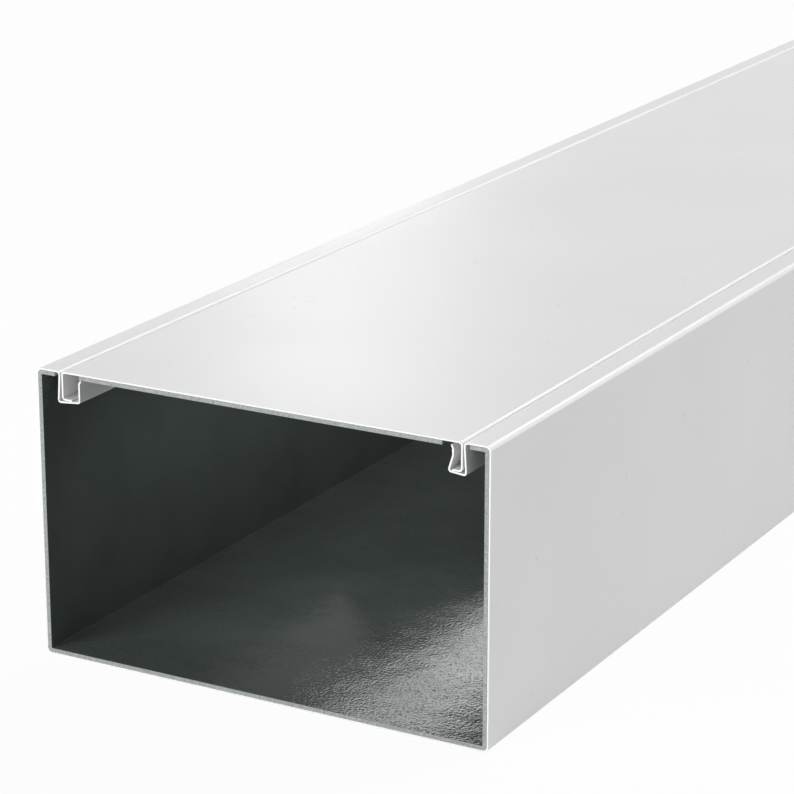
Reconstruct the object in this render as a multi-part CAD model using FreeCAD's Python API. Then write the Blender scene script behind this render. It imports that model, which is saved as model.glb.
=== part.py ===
import FreeCAD, Part
import math
import os

# Fire-rated cable trunking: a folded steel base with a fire lining, closed by a lined lid that snaps in.
# X runs across the trunking, Y along it and Z up. The origin is under the middle of the floor.
# Every piece keeps one section from end to end, so each is drawn as a closed outline in XZ and
# pulled out along Y. Sizes are in millimetres and angles in degrees.

# Outside sizes of one length
LENGTH = 2000.0
WIDTH = 200.0
HEIGHT = 120.0

# Painted steel sheet, and the radii on the inside of its bends
SHEET = 0.75
CORNER_BEND = 1.65
LIP_BEND = 1.0
GROOVE_BEND = 0.6
HOOK_BEND = 0.8
FLARE_BEND = 0.6
NECK_BEND = 2.0

# Lips of the base, and the grooves that hang from them
LIP = 11.3
GROOVE_DEPTH = 13.1
GROOVE_LEAN = 3.6
GROOVE_RISE = 5.5

# Lid edges: the open seam beside each lip, narrower where the lid is pressed to the snap groove's outer
# side, and the hook under each flange
PLAIN_SEAM = 0.5
SNAP_SEAM = 0.25
PLAIN_HOOK = 4.65
SNAP_HOOK = 4.3

# Plain groove, where the lid is hooked in first
HOOK_PLAY = 3.2
FLARE_RUN = 0.9
FLARE_RISE = 1.1
FLARE_PLAY = 0.1

# Snap groove, whose pinched neck catches the other hook
POCKET_PLAY = 0.45
SNAP_CATCH = 0.65
NECK_LENGTH = 2.7
MOUTH_RUN = 0.6
MOUTH_RISE = 1.55
MOUTH_PLAY = 0.85

# Fire lining, and the bare steel left beside it
LINING = 1.75
LINING_CREASE = 0.3
LIP_LINING_SETBACK = 1.9
LID_LINING_PLAY = 3.45

# Middle line of the sheet in the base
half_sheet = SHEET / 2
wall_x = WIDTH / 2 - half_sheet
top_z = HEIGHT - half_sheet
floor_z = half_sheet
lip_end_x = WIDTH / 2 - LIP + half_sheet
groove_z = HEIGHT - GROOVE_DEPTH + half_sheet
groove_x = lip_end_x + (top_z - groove_z) * math.tan(math.radians(GROOVE_LEAN))
groove_rise = math.radians(GROOVE_RISE)

# Lid edges, and the hooks that stand on the groove floors by their tips
plain_edge_x = WIDTH / 2 - LIP - PLAIN_SEAM
snap_edge_x = WIDTH / 2 - LIP - SNAP_SEAM
plain_tip_x = plain_edge_x - PLAIN_HOOK
snap_tip_x = snap_edge_x - SNAP_HOOK
neck_x = snap_tip_x + SNAP_CATCH - half_sheet

# Faces that the lining lies against
steel_x = WIDTH / 2 - SHEET
steel_top_z = HEIGHT - SHEET
lining_x = steel_x - LINING
lining_top_z = steel_top_z - LINING


def groove_floor(x):
    """Height of the middle of a groove's floor, x from the centre of the trunking."""
    return groove_z + (groove_x - x) * math.tan(groove_rise)


def end_corner(run, rise):
    """How far the upper corner of a slanted sheet end stands above the middle of that end."""
    return half_sheet * run / math.hypot(run, rise)


def at(x, z):
    """Point of the section at the near end."""
    return FreeCAD.Vector(x, -LENGTH / 2, z)


def mirrored(path):
    """The same path on the other side of the trunking, in the opposite order."""
    return [(-x, z, radius) for x, z, radius in reversed(path)]


def rounded_face(corners):
    """Face inside a closed outline of (x, z, radius) corners."""
    bends = []
    for index, (x, z, radius) in enumerate(corners):
        corner = at(x, z)
        before = at(*corners[index - 1][:2]) - corner
        after = at(*corners[(index + 1) % len(corners)][:2]) - corner
        before.normalize()
        after.normalize()
        half_angle = before.getAngle(after) / 2
        reach = radius / math.tan(half_angle)
        inset = radius / math.sin(half_angle) - radius
        bisector = before + after
        bisector.normalize()
        bends.append((corner + before * reach, corner + bisector * inset, corner + after * reach, radius))
    edges = []
    for index, (start, middle, end, radius) in enumerate(bends):
        if radius > 0:
            edges.append(Part.Arc(start, middle, end).toShape())
        next_start = bends[(index + 1) % len(bends)][0]
        edges.append(Part.LineSegment(end, next_start).toShape())
    return Part.Face(Part.Wire(edges))


def folded_outline(path):
    """Outline of a sheet whose middle line follows (x, z, inside bend radius) points."""
    left = []
    right = []
    for index, (x, z, bend) in enumerate(path):
        point = at(x, z)
        arrive = point - at(*path[max(index - 1, 0)][:2])
        leave = at(*path[min(index + 1, len(path) - 1)][:2]) - point
        if index == 0:
            arrive = leave
        if index == len(path) - 1:
            leave = arrive
        turn = math.atan2(arrive.x * leave.z - arrive.z * leave.x, arrive.dot(leave))
        heading = math.atan2(arrive.z, arrive.x) + turn / 2
        miter = half_sheet / math.cos(turn / 2)
        step_x = -math.sin(heading) * miter
        step_z = math.cos(heading) * miter
        wide_bend = bend + SHEET if bend > 0 else 0
        left.append((x + step_x, z + step_z, bend if turn > 0 else wide_bend))
        right.append((x - step_x, z - step_z, wide_bend if turn > 0 else bend))
    return left + right[::-1]


def pulled_out(corners):
    """Solid of a section that runs the whole length."""
    return rounded_face(corners).extrude(FreeCAD.Vector(0, LENGTH, 0))


def lip_path():
    """Middle line from the top corner of a wall, along the lip, to the outer foot of its groove."""
    return [
        (wall_x, top_z, CORNER_BEND),
        (lip_end_x, top_z, LIP_BEND),
        (groove_x, groove_z, GROOVE_BEND),
    ]


def plain_groove_path():
    """Middle line of the plain groove's inner side, up to the flared tip under the lid lining."""
    foot_x = plain_tip_x - HOOK_PLAY - half_sheet
    tip_z = lining_top_z - FLARE_PLAY - end_corner(FLARE_RUN, FLARE_RISE)
    return [
        (foot_x, groove_floor(foot_x), GROOVE_BEND),
        (foot_x, tip_z - FLARE_RISE, FLARE_BEND),
        (foot_x - FLARE_RUN, tip_z, 0),
    ]


def snap_groove_path():
    """Middle line of the snap groove's inner side: a pocket at its foot, a pinched neck and a flared mouth.

    The floor stays flat a little past the hook's tip, and the bend there runs on into a straight wall
    that leans out to the neck.
    """
    tip_z = steel_top_z - MOUTH_PLAY - end_corner(MOUTH_RUN, MOUTH_RISE)
    neck_top_z = tip_z - MOUTH_RISE
    neck_z = neck_top_z - NECK_LENGTH
    bend = GROOVE_BEND + half_sheet
    flat_end_x = snap_tip_x - POCKET_PLAY
    centre_x = flat_end_x + bend * math.sin(groove_rise)
    centre_z = groove_floor(flat_end_x) + bend * math.cos(groove_rise)
    neck_distance = math.hypot(neck_x - centre_x, neck_z - centre_z)
    wall_angle = math.atan2(neck_z - centre_z, neck_x - centre_x) - math.asin(bend / neck_distance)
    foot_turn = math.pi - groove_rise - wall_angle
    foot_x = flat_end_x - bend * math.tan(foot_turn / 2) * math.cos(groove_rise)
    return [
        (foot_x, groove_floor(foot_x), GROOVE_BEND),
        (neck_x, neck_z, NECK_BEND),
        (neck_x, neck_top_z, NECK_BEND),
        (neck_x - MOUTH_RUN, tip_z, 0),
    ]


def trunking_base():
    """Folded base: floor, walls, lips and both grooves in one sheet."""
    snap_side = [(wall_x, floor_z, CORNER_BEND)] + lip_path() + snap_groove_path()
    plain_side = [(wall_x, floor_z, CORNER_BEND)] + lip_path() + plain_groove_path()
    return pulled_out(folded_outline(mirrored(plain_side) + snap_side))


def base_lining():
    """Lining strip folded round the floor and walls and in under both lips."""
    end_x = WIDTH / 2 - LIP + SHEET + LIP_LINING_SETBACK
    against_steel = [
        (steel_x, SHEET, CORNER_BEND),
        (steel_x, steel_top_z, CORNER_BEND),
        (end_x, steel_top_z, 0),
    ]
    inner_side = [
        (end_x, lining_top_z, 0),
        (lining_x, lining_top_z, LINING_CREASE),
        (lining_x, SHEET + LINING, LINING_CREASE),
    ]
    return pulled_out(against_steel + inner_side + mirrored(inner_side) + mirrored(against_steel))


def lid_edge_path(edge_x, tip_x):
    """Middle line of a lid edge: the flange, and the level hook that stands on the groove floor by its tip."""
    seat_z = groove_floor(tip_x) + half_sheet / math.cos(groove_rise)
    hook_z = seat_z + half_sheet
    flange_x = edge_x - half_sheet
    return [
        (flange_x, top_z, LIP_BEND),
        (flange_x, hook_z, HOOK_BEND),
        (tip_x, hook_z, 0),
    ]


def lid():
    """Folded lid: cover, edge flanges and inward hooks in one sheet."""
    plain_side = lid_edge_path(plain_edge_x, plain_tip_x)
    snap_side = lid_edge_path(snap_edge_x, snap_tip_x)
    return pulled_out(folded_outline(mirrored(plain_side) + snap_side))


def lid_lining():
    """Flat lining strip under the lid."""
    edge_x = neck_x - MOUTH_RUN - half_sheet - LID_LINING_PLAY
    edge = [
        (edge_x, steel_top_z, 0),
        (edge_x, lining_top_z, 0),
    ]
    return pulled_out(edge + mirrored(edge))


os.makedirs("parts", exist_ok=True)
for piece in (trunking_base, base_lining, lid, lid_lining):
    shape = piece()
    shape.exportStep(f"parts/{piece.__name__}.step")
    print(piece.__name__, shape.isValid(), round(shape.Volume), shape.BoundBox)
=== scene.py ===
import math

import bmesh
import bpy
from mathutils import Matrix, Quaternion, Vector


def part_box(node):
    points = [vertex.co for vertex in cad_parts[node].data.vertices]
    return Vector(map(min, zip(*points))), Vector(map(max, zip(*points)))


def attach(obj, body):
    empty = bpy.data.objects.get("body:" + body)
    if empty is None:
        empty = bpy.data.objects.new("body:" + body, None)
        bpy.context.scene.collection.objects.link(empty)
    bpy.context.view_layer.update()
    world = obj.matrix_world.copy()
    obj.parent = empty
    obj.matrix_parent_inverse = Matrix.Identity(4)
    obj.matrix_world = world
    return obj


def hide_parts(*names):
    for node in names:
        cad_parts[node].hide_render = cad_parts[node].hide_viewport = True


# Looks of a length of fire-rated cable trunking: white painted steel base and lid, with dark fire lining.
# X runs across the trunking, Y along it and Z up, in metres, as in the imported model. Angles are in degrees.

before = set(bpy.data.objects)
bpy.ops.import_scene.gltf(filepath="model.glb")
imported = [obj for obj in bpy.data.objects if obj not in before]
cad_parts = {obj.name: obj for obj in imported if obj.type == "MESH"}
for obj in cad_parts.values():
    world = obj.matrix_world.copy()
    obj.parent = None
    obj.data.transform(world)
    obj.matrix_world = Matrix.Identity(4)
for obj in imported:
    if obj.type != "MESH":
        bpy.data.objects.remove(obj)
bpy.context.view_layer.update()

MM = 0.001

# Steel sheet, and the radii of its bends on the middle line of the sheet
SHEET = 0.75 * MM
CORNER_BEND = 2.025 * MM
LIP_BEND = 1.375 * MM
GROOVE_BEND = 0.975 * MM
HOOK_BEND = 1.175 * MM
FLARE_BEND = 0.975 * MM
NECK_BEND = 2.375 * MM
BEND_SEGMENTS = 8

# Middle line of the grooves: distance from the centre of the trunking, and depth under its top face
LIP_END = (89.075 * MM, 0.375 * MM)
GROOVE_OUTER_FOOT = (89.852 * MM, 12.725 * MM)
PLAIN_FOOT = (79.975 * MM, 11.774 * MM)
PLAIN_KINK = (79.975 * MM, 3.937 * MM)
PLAIN_TIP = (79.075 * MM, 2.837 * MM)
SNAP_FOOT = (82.497 * MM, 12.017 * MM)
SNAP_NECK = (84.425 * MM, 5.985 * MM)
SNAP_NECK_TOP = (84.425 * MM, 3.285 * MM)
SNAP_TIP = (83.825 * MM, 1.735 * MM)
PLAIN_HOOK_TIP = (83.55 * MM, 11.366 * MM)
SNAP_HOOK_TIP = (84.15 * MM, 11.424 * MM)

# Fire lining: radii of its bends against the steel and of its creases inside, and its end under a lip
LINING_BEND = 1.65 * MM
LINING_CREASE = 0.3 * MM
LIP_LINING_END = 91.35 * MM

# Fine rounding of the cut edges, and the angles above which an edge is rounded or shaded sharp
SHEET_ROUNDING = 0.12 * MM
LINING_ROUNDING = 0.15 * MM
ROUNDING_SEGMENTS = 2
ROUNDED_ANGLE = 60.0
SHARP_ANGLE = 50.0

# A face is square to an axis where its normal reaches this share of it, and on a line within this distance
SQUARE_ON = 0.9
ON_LINE = 0.1 * MM

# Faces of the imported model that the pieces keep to
base_low, base_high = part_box("trunking_base")
lid_low, lid_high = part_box("lid")
wrap_low, wrap_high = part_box("base_lining")
strip_low, strip_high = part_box("lid_lining")
near_y = base_low.y
length = base_high.y - base_low.y
half_sheet = SHEET / 2
wall_x = base_high.x - half_sheet
floor_z = base_low.z + half_sheet
top_z = base_high.z
plain_flange_x = -lid_low.x - half_sheet
snap_flange_x = lid_high.x - half_sheet
lining = strip_high.z - strip_low.z

# Most of a noise pattern lies between these values
NOISE_LOW = 0.3
NOISE_HIGH = 0.7


def grey(value):
    """Grey of a given lightness."""
    return (value, value, value, 1.0)


# Colours: pairs of a darker and a lighter one that a noise pattern blends, and the grey of the specks
PAINT_WHITES = (grey(0.79), grey(0.83))
# The edge whites are lighter than the paint: partly a thicker coat, partly a painted highlight on the lit cut
# edges
EDGE_COAT_AND_HIGHLIGHT_WHITES = (grey(0.86), grey(0.92))
SPECK_GREY = (0.72, 0.72, 0.71, 1.0)
FACING_GREYS = ((0.062, 0.074, 0.071, 1.0), (0.076, 0.090, 0.087, 1.0))
CORE_GREYS = ((0.225, 0.24, 0.235, 1.0), (0.455, 0.485, 0.475, 1.0))


def connect(tree, node, links):
    """Feeds inputs of a node, each with another node's output or with a fixed value."""
    for name, value in links.items():
        if isinstance(value, bpy.types.NodeSocket):
            tree.links.new(value, node.inputs[name])
        else:
            node.inputs[name].default_value = value


def add_node(tree, kind, links=None, **settings):
    """New node with its settings and inputs."""
    node = tree.nodes.new(kind)
    for name, value in settings.items():
        setattr(node, name, value)
    connect(tree, node, links or {})
    return node


def empty_tree(owner):
    """Node tree of a material or world, with nothing in it."""
    owner.use_nodes = True
    owner.node_tree.nodes.clear()
    return owner.node_tree


def new_material(name):
    """Material with an output, a Principled shader and the piece's own coordinates."""
    material = bpy.data.materials.new(name)
    tree = empty_tree(material)
    shader = add_node(tree, "ShaderNodeBsdfPrincipled")
    add_node(tree, "ShaderNodeOutputMaterial", {"Surface": shader.outputs["BSDF"]})
    place = add_node(tree, "ShaderNodeTexCoord").outputs["Object"]
    return material, tree, shader, place


def noise(tree, place, scale, detail, roughness=0.5):
    """Factor of a noise pattern of so many features a metre."""
    links = {"Vector": place, "Scale": scale, "Detail": detail, "Roughness": roughness}
    return add_node(tree, "ShaderNodeTexNoise", links).outputs["Fac"]


def ramp(tree, factor, colours, low=NOISE_LOW, high=NOISE_HIGH):
    """Blend of two colours while a factor goes from low to high."""
    node = add_node(tree, "ShaderNodeValToRGB", {"Fac": factor})
    for element, position, colour in zip(node.color_ramp.elements, (low, high), colours):
        element.position = position
        element.color = colour
    return node.outputs["Color"]


def spread(tree, factor, low, high):
    """A noise factor mapped to the range from low to high."""
    links = {"Value": factor, "From Min": NOISE_LOW, "From Max": NOISE_HIGH, "To Min": low, "To Max": high}
    return add_node(tree, "ShaderNodeMapRange", links).outputs["Result"]


def relief(tree, height, strength, depth, under=None):
    """Normals of a surface with fine relief, on top of the relief under it if there is one."""
    links = {"Height": height, "Strength": strength, "Distance": depth}
    if under is not None:
        links["Normal"] = under
    return add_node(tree, "ShaderNodeBump", links).outputs["Normal"]


def white_paint():
    """Satin white coating with a faint orange peel, cloudy gloss and a few specks."""
    material, tree, shader, place = new_material("white_paint")
    clouds = noise(tree, place, scale=9.0, detail=3.0)
    peel = noise(tree, place, scale=700.0, detail=2.0)
    dots = noise(tree, place, scale=330.0, detail=0.0)
    speck = ramp(tree, dots, (grey(0.0), grey(1.0)), low=0.84, high=0.87)
    mix = {"Fac": speck, "Color1": ramp(tree, clouds, PAINT_WHITES), "Color2": SPECK_GREY}
    finish = {
        "Base Color": add_node(tree, "ShaderNodeMixRGB", mix).outputs["Color"],
        "Roughness": spread(tree, clouds, low=0.31, high=0.37),
        "Normal": relief(tree, peel, strength=0.15, depth=0.02 * MM),
    }
    connect(tree, shader, finish)
    return material


def edge_paint_and_highlight():
    """Bright coat on the cut edges of the sheet: partly paint that gathers there, partly a painted highlight
    for their lit lines.
    """
    material, tree, shader, place = new_material("edge_paint_and_highlight")
    grain = noise(tree, place, scale=1500.0, detail=2.0)
    connect(tree, shader, {"Base Color": ramp(tree, grain, EDGE_COAT_AND_HIGHLIGHT_WHITES), "Roughness": 0.3})
    return material


def lining_face_and_side_shade():
    """Dark grey facing of the fire lining, gently wavy, finely crinkled and a little shiny. It also covers
    the lid strip's cut sides as painted shade.
    """
    material, tree, shader, place = new_material("lining_face_and_side_shade")
    clouds = noise(tree, place, scale=30.0, detail=3.0)
    waves = noise(tree, place, scale=80.0, detail=1.0)
    crinkle = noise(tree, place, scale=800.0, detail=1.0, roughness=0.4)
    swell = relief(tree, waves, strength=1.0, depth=0.3 * MM)
    finish = {
        "Base Color": ramp(tree, clouds, FACING_GREYS),
        "Roughness": spread(tree, clouds, low=0.16, high=0.22),
        "Normal": relief(tree, crinkle, strength=1.0, depth=0.155 * MM, under=swell),
    }
    connect(tree, shader, finish)
    return material


def lining_core():
    """Cut end of the fire lining: pale grey, grainy."""
    material, tree, shader, place = new_material("lining_core")
    grains = noise(tree, place, scale=900.0, detail=4.0, roughness=0.65)
    finish = {
        "Base Color": ramp(tree, grains, CORE_GREYS),
        "Roughness": 0.85,
        "Normal": relief(tree, grains, strength=0.8, depth=0.15 * MM),
    }
    connect(tree, shader, finish)
    return material


def add_object(name, data):
    """New object at the origin, in the scene."""
    thing = bpy.data.objects.new(name, data)
    bpy.context.scene.collection.objects.link(thing)
    return thing


def finished_mesh(name, bm):
    """Mesh of what was modelled."""
    mesh = bpy.data.meshes.new(name)
    bm.to_mesh(mesh)
    bm.free()
    return mesh


def new_piece(name, bm, materials, node):
    """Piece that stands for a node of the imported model."""
    mesh = finished_mesh(name, bm)
    mesh.shade_smooth()
    mesh.set_sharp_from_angle(angle=math.radians(SHARP_ANGLE))
    for material in materials:
        mesh.materials.append(material)
    piece = add_object(name, mesh)
    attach(piece, "root")
    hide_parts(node)
    return piece


def round_cut_edges(piece, width):
    """Fine rounding of the cut edges, with the flat faces kept flat in shading."""
    rounding = piece.modifiers.new("cut_rounding", "BEVEL")
    rounding.width = width
    rounding.segments = ROUNDING_SEGMENTS
    rounding.limit_method = "ANGLE"
    rounding.angle_limit = math.radians(ROUNDED_ANGLE)
    rounding.harden_normals = True
    shading = piece.modifiers.new("flat_shading", "WEIGHTED_NORMAL")
    shading.keep_sharp = True


def round_corner(bm, corner, radius):
    """Round bend at a corner of a wire or of a flat face."""
    ends = [edge.other_vert(corner).co - corner.co for edge in corner.link_edges]
    turn = math.pi - ends[0].angle(ends[1])
    bmesh.ops.bevel(
        bm,
        geom=[corner],
        offset=radius * math.tan(turn / 2),
        offset_type="OFFSET",
        segments=BEND_SEGMENTS,
        profile=0.5,
        affect="VERTICES",
        material=-1,
    )


def near_corners(bm, path):
    """Corners of a (x, z, bend) path at the near end."""
    return [bm.verts.new((x, near_y, z)) for x, z, bend in path]


def round_bends(bm, corners, path):
    """Rounds each corner of a path that has a bend."""
    for corner, (x, z, bend) in zip(corners, path):
        if bend > 0:
            round_corner(bm, corner, bend)


def pull_along(bm, extruded):
    """Moves the new end of an extrusion to the far end of the trunking."""
    ends = [part for part in extruded["geom"] if isinstance(part, bmesh.types.BMVert)]
    bmesh.ops.translate(bm, verts=ends, vec=(0, length, 0))
    bmesh.ops.recalc_face_normals(bm, faces=bm.faces[:])


def sheet_piece(name, path, coats, node):
    """Painted sheet whose middle line follows a path, with its thickness and fine cut edges."""
    bm = bmesh.new()
    corners = near_corners(bm, path)
    for start, end in zip(corners, corners[1:]):
        bm.edges.new((start, end))
    round_bends(bm, corners, path)
    pull_along(bm, bmesh.ops.extrude_edge_only(bm, edges=bm.edges[:]))
    piece = new_piece(name, bm, coats, node)
    wall = piece.modifiers.new("sheet_thickness", "SOLIDIFY")
    wall.thickness = SHEET
    wall.offset = 0.0
    wall.use_even_offset = True
    wall.material_offset_rim = 1
    round_cut_edges(piece, SHEET_ROUNDING)


def lining_piece(name, outline, finishes, node):
    """Lining pulled out of a closed outline, with dark faces, and pale ends and edges under the lips. Other
    cut sides stay dark as painted shade.
    """
    bm = bmesh.new()
    corners = near_corners(bm, outline)
    bm.faces.new(corners)
    round_bends(bm, corners, outline)
    pull_along(bm, bmesh.ops.extrude_face_region(bm, geom=bm.faces[:], use_keep_orig=True))
    for face in bm.faces:
        across = abs(face.calc_center_median().x)
        under_lip = abs(across - LIP_LINING_END) < ON_LINE and abs(face.normal.x) > SQUARE_ON
        # Only the ends and the edges under the lips turn pale; the lid strip's cut sides stay dark as painted
        # shade
        if under_lip or abs(face.normal.y) > SQUARE_ON:
            face.material_index = 1
    piece = new_piece(name, bm, finishes, node)
    round_cut_edges(piece, LINING_ROUNDING)


def mirrored(path):
    """The same path on the other side of the trunking, in the opposite order."""
    return [(-x, z, bend) for x, z, bend in reversed(path)]


def in_section(point, bend):
    """Corner of a groove, from its distance from the centre and its depth under the top."""
    return (point[0], top_z - point[1], bend)


def painted_base(coats):
    """Folded steel base with a plain groove on one side and a snap groove on the other."""
    wall = [
        (wall_x, floor_z, CORNER_BEND),
        (wall_x, top_z - half_sheet, CORNER_BEND),
        in_section(LIP_END, LIP_BEND),
        in_section(GROOVE_OUTER_FOOT, GROOVE_BEND),
    ]
    plain_groove = [
        in_section(PLAIN_FOOT, GROOVE_BEND),
        in_section(PLAIN_KINK, FLARE_BEND),
        in_section(PLAIN_TIP, 0),
    ]
    snap_groove = [
        in_section(SNAP_FOOT, GROOVE_BEND),
        in_section(SNAP_NECK, NECK_BEND),
        in_section(SNAP_NECK_TOP, NECK_BEND),
        in_section(SNAP_TIP, 0),
    ]
    path = mirrored(wall + plain_groove) + wall + snap_groove
    sheet_piece("painted_base", path, coats, "trunking_base")


def lid_edge(flange_x, hook_tip):
    """Flange of the lid and the hook under it."""
    return [
        (flange_x, top_z - half_sheet, LIP_BEND),
        (flange_x, top_z - hook_tip[1], HOOK_BEND),
        in_section(hook_tip, 0),
    ]


def painted_lid(coats):
    """Folded steel lid with a flange and an inward hook along each edge."""
    plain_edge = lid_edge(plain_flange_x, PLAIN_HOOK_TIP)
    snap_edge = lid_edge(snap_flange_x, SNAP_HOOK_TIP)
    sheet_piece("painted_lid", mirrored(plain_edge) + snap_edge, coats, "lid")


def wrapped_lining(finishes):
    """Lining folded round the floor and walls and in under the lips."""
    against_steel = [
        (wrap_high.x, wrap_low.z, LINING_BEND),
        (wrap_high.x, wrap_high.z, LINING_BEND),
        (LIP_LINING_END, wrap_high.z, 0),
    ]
    inner_side = [
        (LIP_LINING_END, wrap_high.z - lining, 0),
        (wrap_high.x - lining, wrap_high.z - lining, LINING_CREASE),
        (wrap_high.x - lining, wrap_low.z + lining, LINING_CREASE),
    ]
    outline = against_steel + inner_side + mirrored(inner_side) + mirrored(against_steel)
    lining_piece("wrapped_lining", outline, finishes, "base_lining")


def lid_lining_strip(finishes):
    """Flat lining under the lid. Its cut sides take the dark facing, a painted shade where the pale core
    would show.
    """
    edge = [
        (strip_high.x, strip_high.z, 0),
        (strip_high.x, strip_low.z, 0),
    ]
    lining_piece("lid_lining_strip", edge + mirrored(edge), finishes, "lid_lining")


# The part
coats = [white_paint(), edge_paint_and_highlight()]
finishes = [lining_face_and_side_shade(), lining_core()]
painted_base(coats)
painted_lid(coats)
wrapped_lining(finishes)
lid_lining_strip(finishes)

# Camera of the photo: a long lens to the right of the near end, above the lid
EYE = Vector((0.5711, near_y - 0.9097, 0.4637))
VIEW_TURN = 29.27
VIEW_DIP = 17.607
LENS = 136.45
SENSOR = 36.0

camera_data = bpy.data.cameras.new("camera")
camera_data.lens = LENS
camera_data.sensor_width = SENSOR
camera = add_object("camera", camera_data)
camera.location = EYE
camera.rotation_euler = (math.radians(90 - VIEW_DIP), 0, math.radians(VIEW_TURN))
bpy.context.scene.camera = camera

# Pale floor, a hair below the part, and a white studio round it
FLOOR_SIZE = 14.0
FLOOR_GAP = 0.05 * MM
FLOOR_WHITE = grey(0.9)
FLOOR_SHOWN = 0.95
STUDIO_WHITE = grey(1.0)
STUDIO_SHOWN = 1.0
WHITE_STRENGTH = 1.0
AMBIENT = 0.215


def larger(tree, first, second):
    """The larger of two values."""
    return add_node(tree, "ShaderNodeMath", {0: first, 1: second}, operation="MAXIMUM").outputs["Value"]


def partly_white(tree, lit, white, share):
    """A share of plain white for the camera, mirrors and glass, and the lit surface for the rest."""
    rays = add_node(tree, "ShaderNodeLightPath").outputs
    direct = larger(tree, rays["Is Camera Ray"], rays["Is Transmission Ray"])
    shown = larger(tree, direct, rays["Is Glossy Ray"])
    part = add_node(tree, "ShaderNodeMath", {0: shown, 1: share}, operation="MULTIPLY").outputs["Value"]
    return add_node(tree, "ShaderNodeMixShader", {0: part, 1: lit, 2: white}).outputs["Shader"]


def studio_floor():
    """Large plain floor, shown nearly white with a faint shadow."""
    bm = bmesh.new()
    bmesh.ops.create_grid(bm, x_segments=1, y_segments=1, size=FLOOR_SIZE / 2)
    bmesh.ops.translate(bm, verts=bm.verts[:], vec=(0, 0, base_low.z - FLOOR_GAP))
    mesh = finished_mesh("studio_floor", bm)
    floor = add_object("studio_floor", mesh)
    material = bpy.data.materials.new("pale_floor")
    tree = empty_tree(material)
    lit = add_node(tree, "ShaderNodeBsdfDiffuse", {"Color": FLOOR_WHITE}).outputs["BSDF"]
    white = add_node(tree, "ShaderNodeEmission", {"Color": STUDIO_WHITE, "Strength": WHITE_STRENGTH})
    surface = partly_white(tree, lit, white.outputs["Emission"], FLOOR_SHOWN)
    add_node(tree, "ShaderNodeOutputMaterial", {"Surface": surface})
    mesh.materials.append(material)


def studio_light(tree, strength):
    """White light of the studio."""
    links = {"Color": STUDIO_WHITE, "Strength": strength}
    return add_node(tree, "ShaderNodeBackground", links).outputs["Background"]


def white_studio():
    """World that lights softly from all round and shows white."""
    world = bpy.data.worlds.new("white_studio")
    bpy.context.scene.world = world
    tree = empty_tree(world)
    soft = studio_light(tree, AMBIENT)
    white = studio_light(tree, WHITE_STRENGTH)
    surface = partly_white(tree, soft, white, STUDIO_SHOWN)
    add_node(tree, "ShaderNodeOutputWorld", {"Surface": surface})


def softbox(name, place, aim, size, power, roll=0.0, beam=180.0, in_gloss=True):
    """Soft lamp at a place, turned to its aim and rolled about its beam, shown in the gloss or kept out."""
    data = bpy.data.lights.new(name, "AREA")
    data.shape = "RECTANGLE"
    data.size, data.size_y = size
    data.energy = power
    data.spread = math.radians(beam)
    lamp = add_object(name, data)
    lamp.location = place
    turn = (Vector(aim) - Vector(place)).to_track_quat("-Z", "Y")
    lamp.rotation_euler = (turn @ Quaternion((0, 0, 1), math.radians(roll))).to_euler()
    lamp.visible_camera = False
    lamp.visible_glossy = in_gloss


studio_floor()
white_studio()

# Places that the lamps are turned to
NEAR_END = (0, near_y + 0.15, 0.06)
LID_SPOT = (-0.09, near_y + 0.25, 0.12)
BENDS = (0.0, near_y + 0.25, 0.12)
MIDDLE = (0.05, near_y + 1.1, 0.08)
GLINT_SPOT = (0.057, near_y + 0.030, 0.0025)
SHEEN_SPOT = (-0.008, near_y + 0.026, 0.0025)
LEFT_FOOT = (-0.074, near_y + 0.98, 0.0065)

# Front light on the cut ends and the lid, kept out of the gloss so that the lid has no glare from behind
softbox("key_lamp", (-1.1, near_y - 2.1, 1.1), NEAR_END, size=(1.2, 1.2), power=36.0, in_gloss=False)
softbox("front_lamp", (0.1, near_y - 2.6, 0.35), NEAR_END, size=(1.0, 0.5), power=21.0, in_gloss=False)

# Soft streak across the lid
softbox("lid_streak_lamp", (-2.51, near_y + 4.31, 1.356), LID_SPOT, size=(0.4, 0.4), power=3.6)

# Light from far behind, which also draws the bright lines along the seams and the right corner
softbox("bend_lamp", (1.7, near_y + 8.75, 6.34), BENDS, size=(6.12, 3.24), power=352.0, roll=17.0)
softbox("seam_lamp", (1.2, near_y + 8.55, 6.68), BENDS, size=(4.8, 1.6), power=190.0, roll=17.0)
softbox("corner_lamp", (5.58, near_y + 8.75, 2.22), BENDS, size=(4.94, 1.54), power=222.0, roll=69.0)

# Light on the middle of the length and the right wall
softbox("middle_lamp", (0.9, near_y + 1.2, 1.1), MIDDLE, size=(0.6, 0.6), power=3.5)

# Glint and sheen on the floor lining near the cut end, and dim light along the whole inside
softbox(
    "lining_glint_lamp",
    (-0.022, near_y + 0.175, 0.0733),
    GLINT_SPOT,
    size=(0.120, 0.026),
    power=0.0110,
    roll=36.0,
    beam=100.0,
)
softbox(
    "lining_sheen_lamp",
    (-0.058, near_y + 0.118, 0.0475),
    SHEEN_SPOT,
    size=(0.075, 0.030),
    power=0.00045,
    roll=36.0,
    beam=100.0,
)
softbox(
    "lining_fill_lamp",
    (-0.040, near_y + 0.98, 0.100),
    LEFT_FOOT,
    size=(1.9, 0.03),
    power=0.53,
    in_gloss=False,
)

bpy.context.scene.view_settings.view_transform = "Standard"
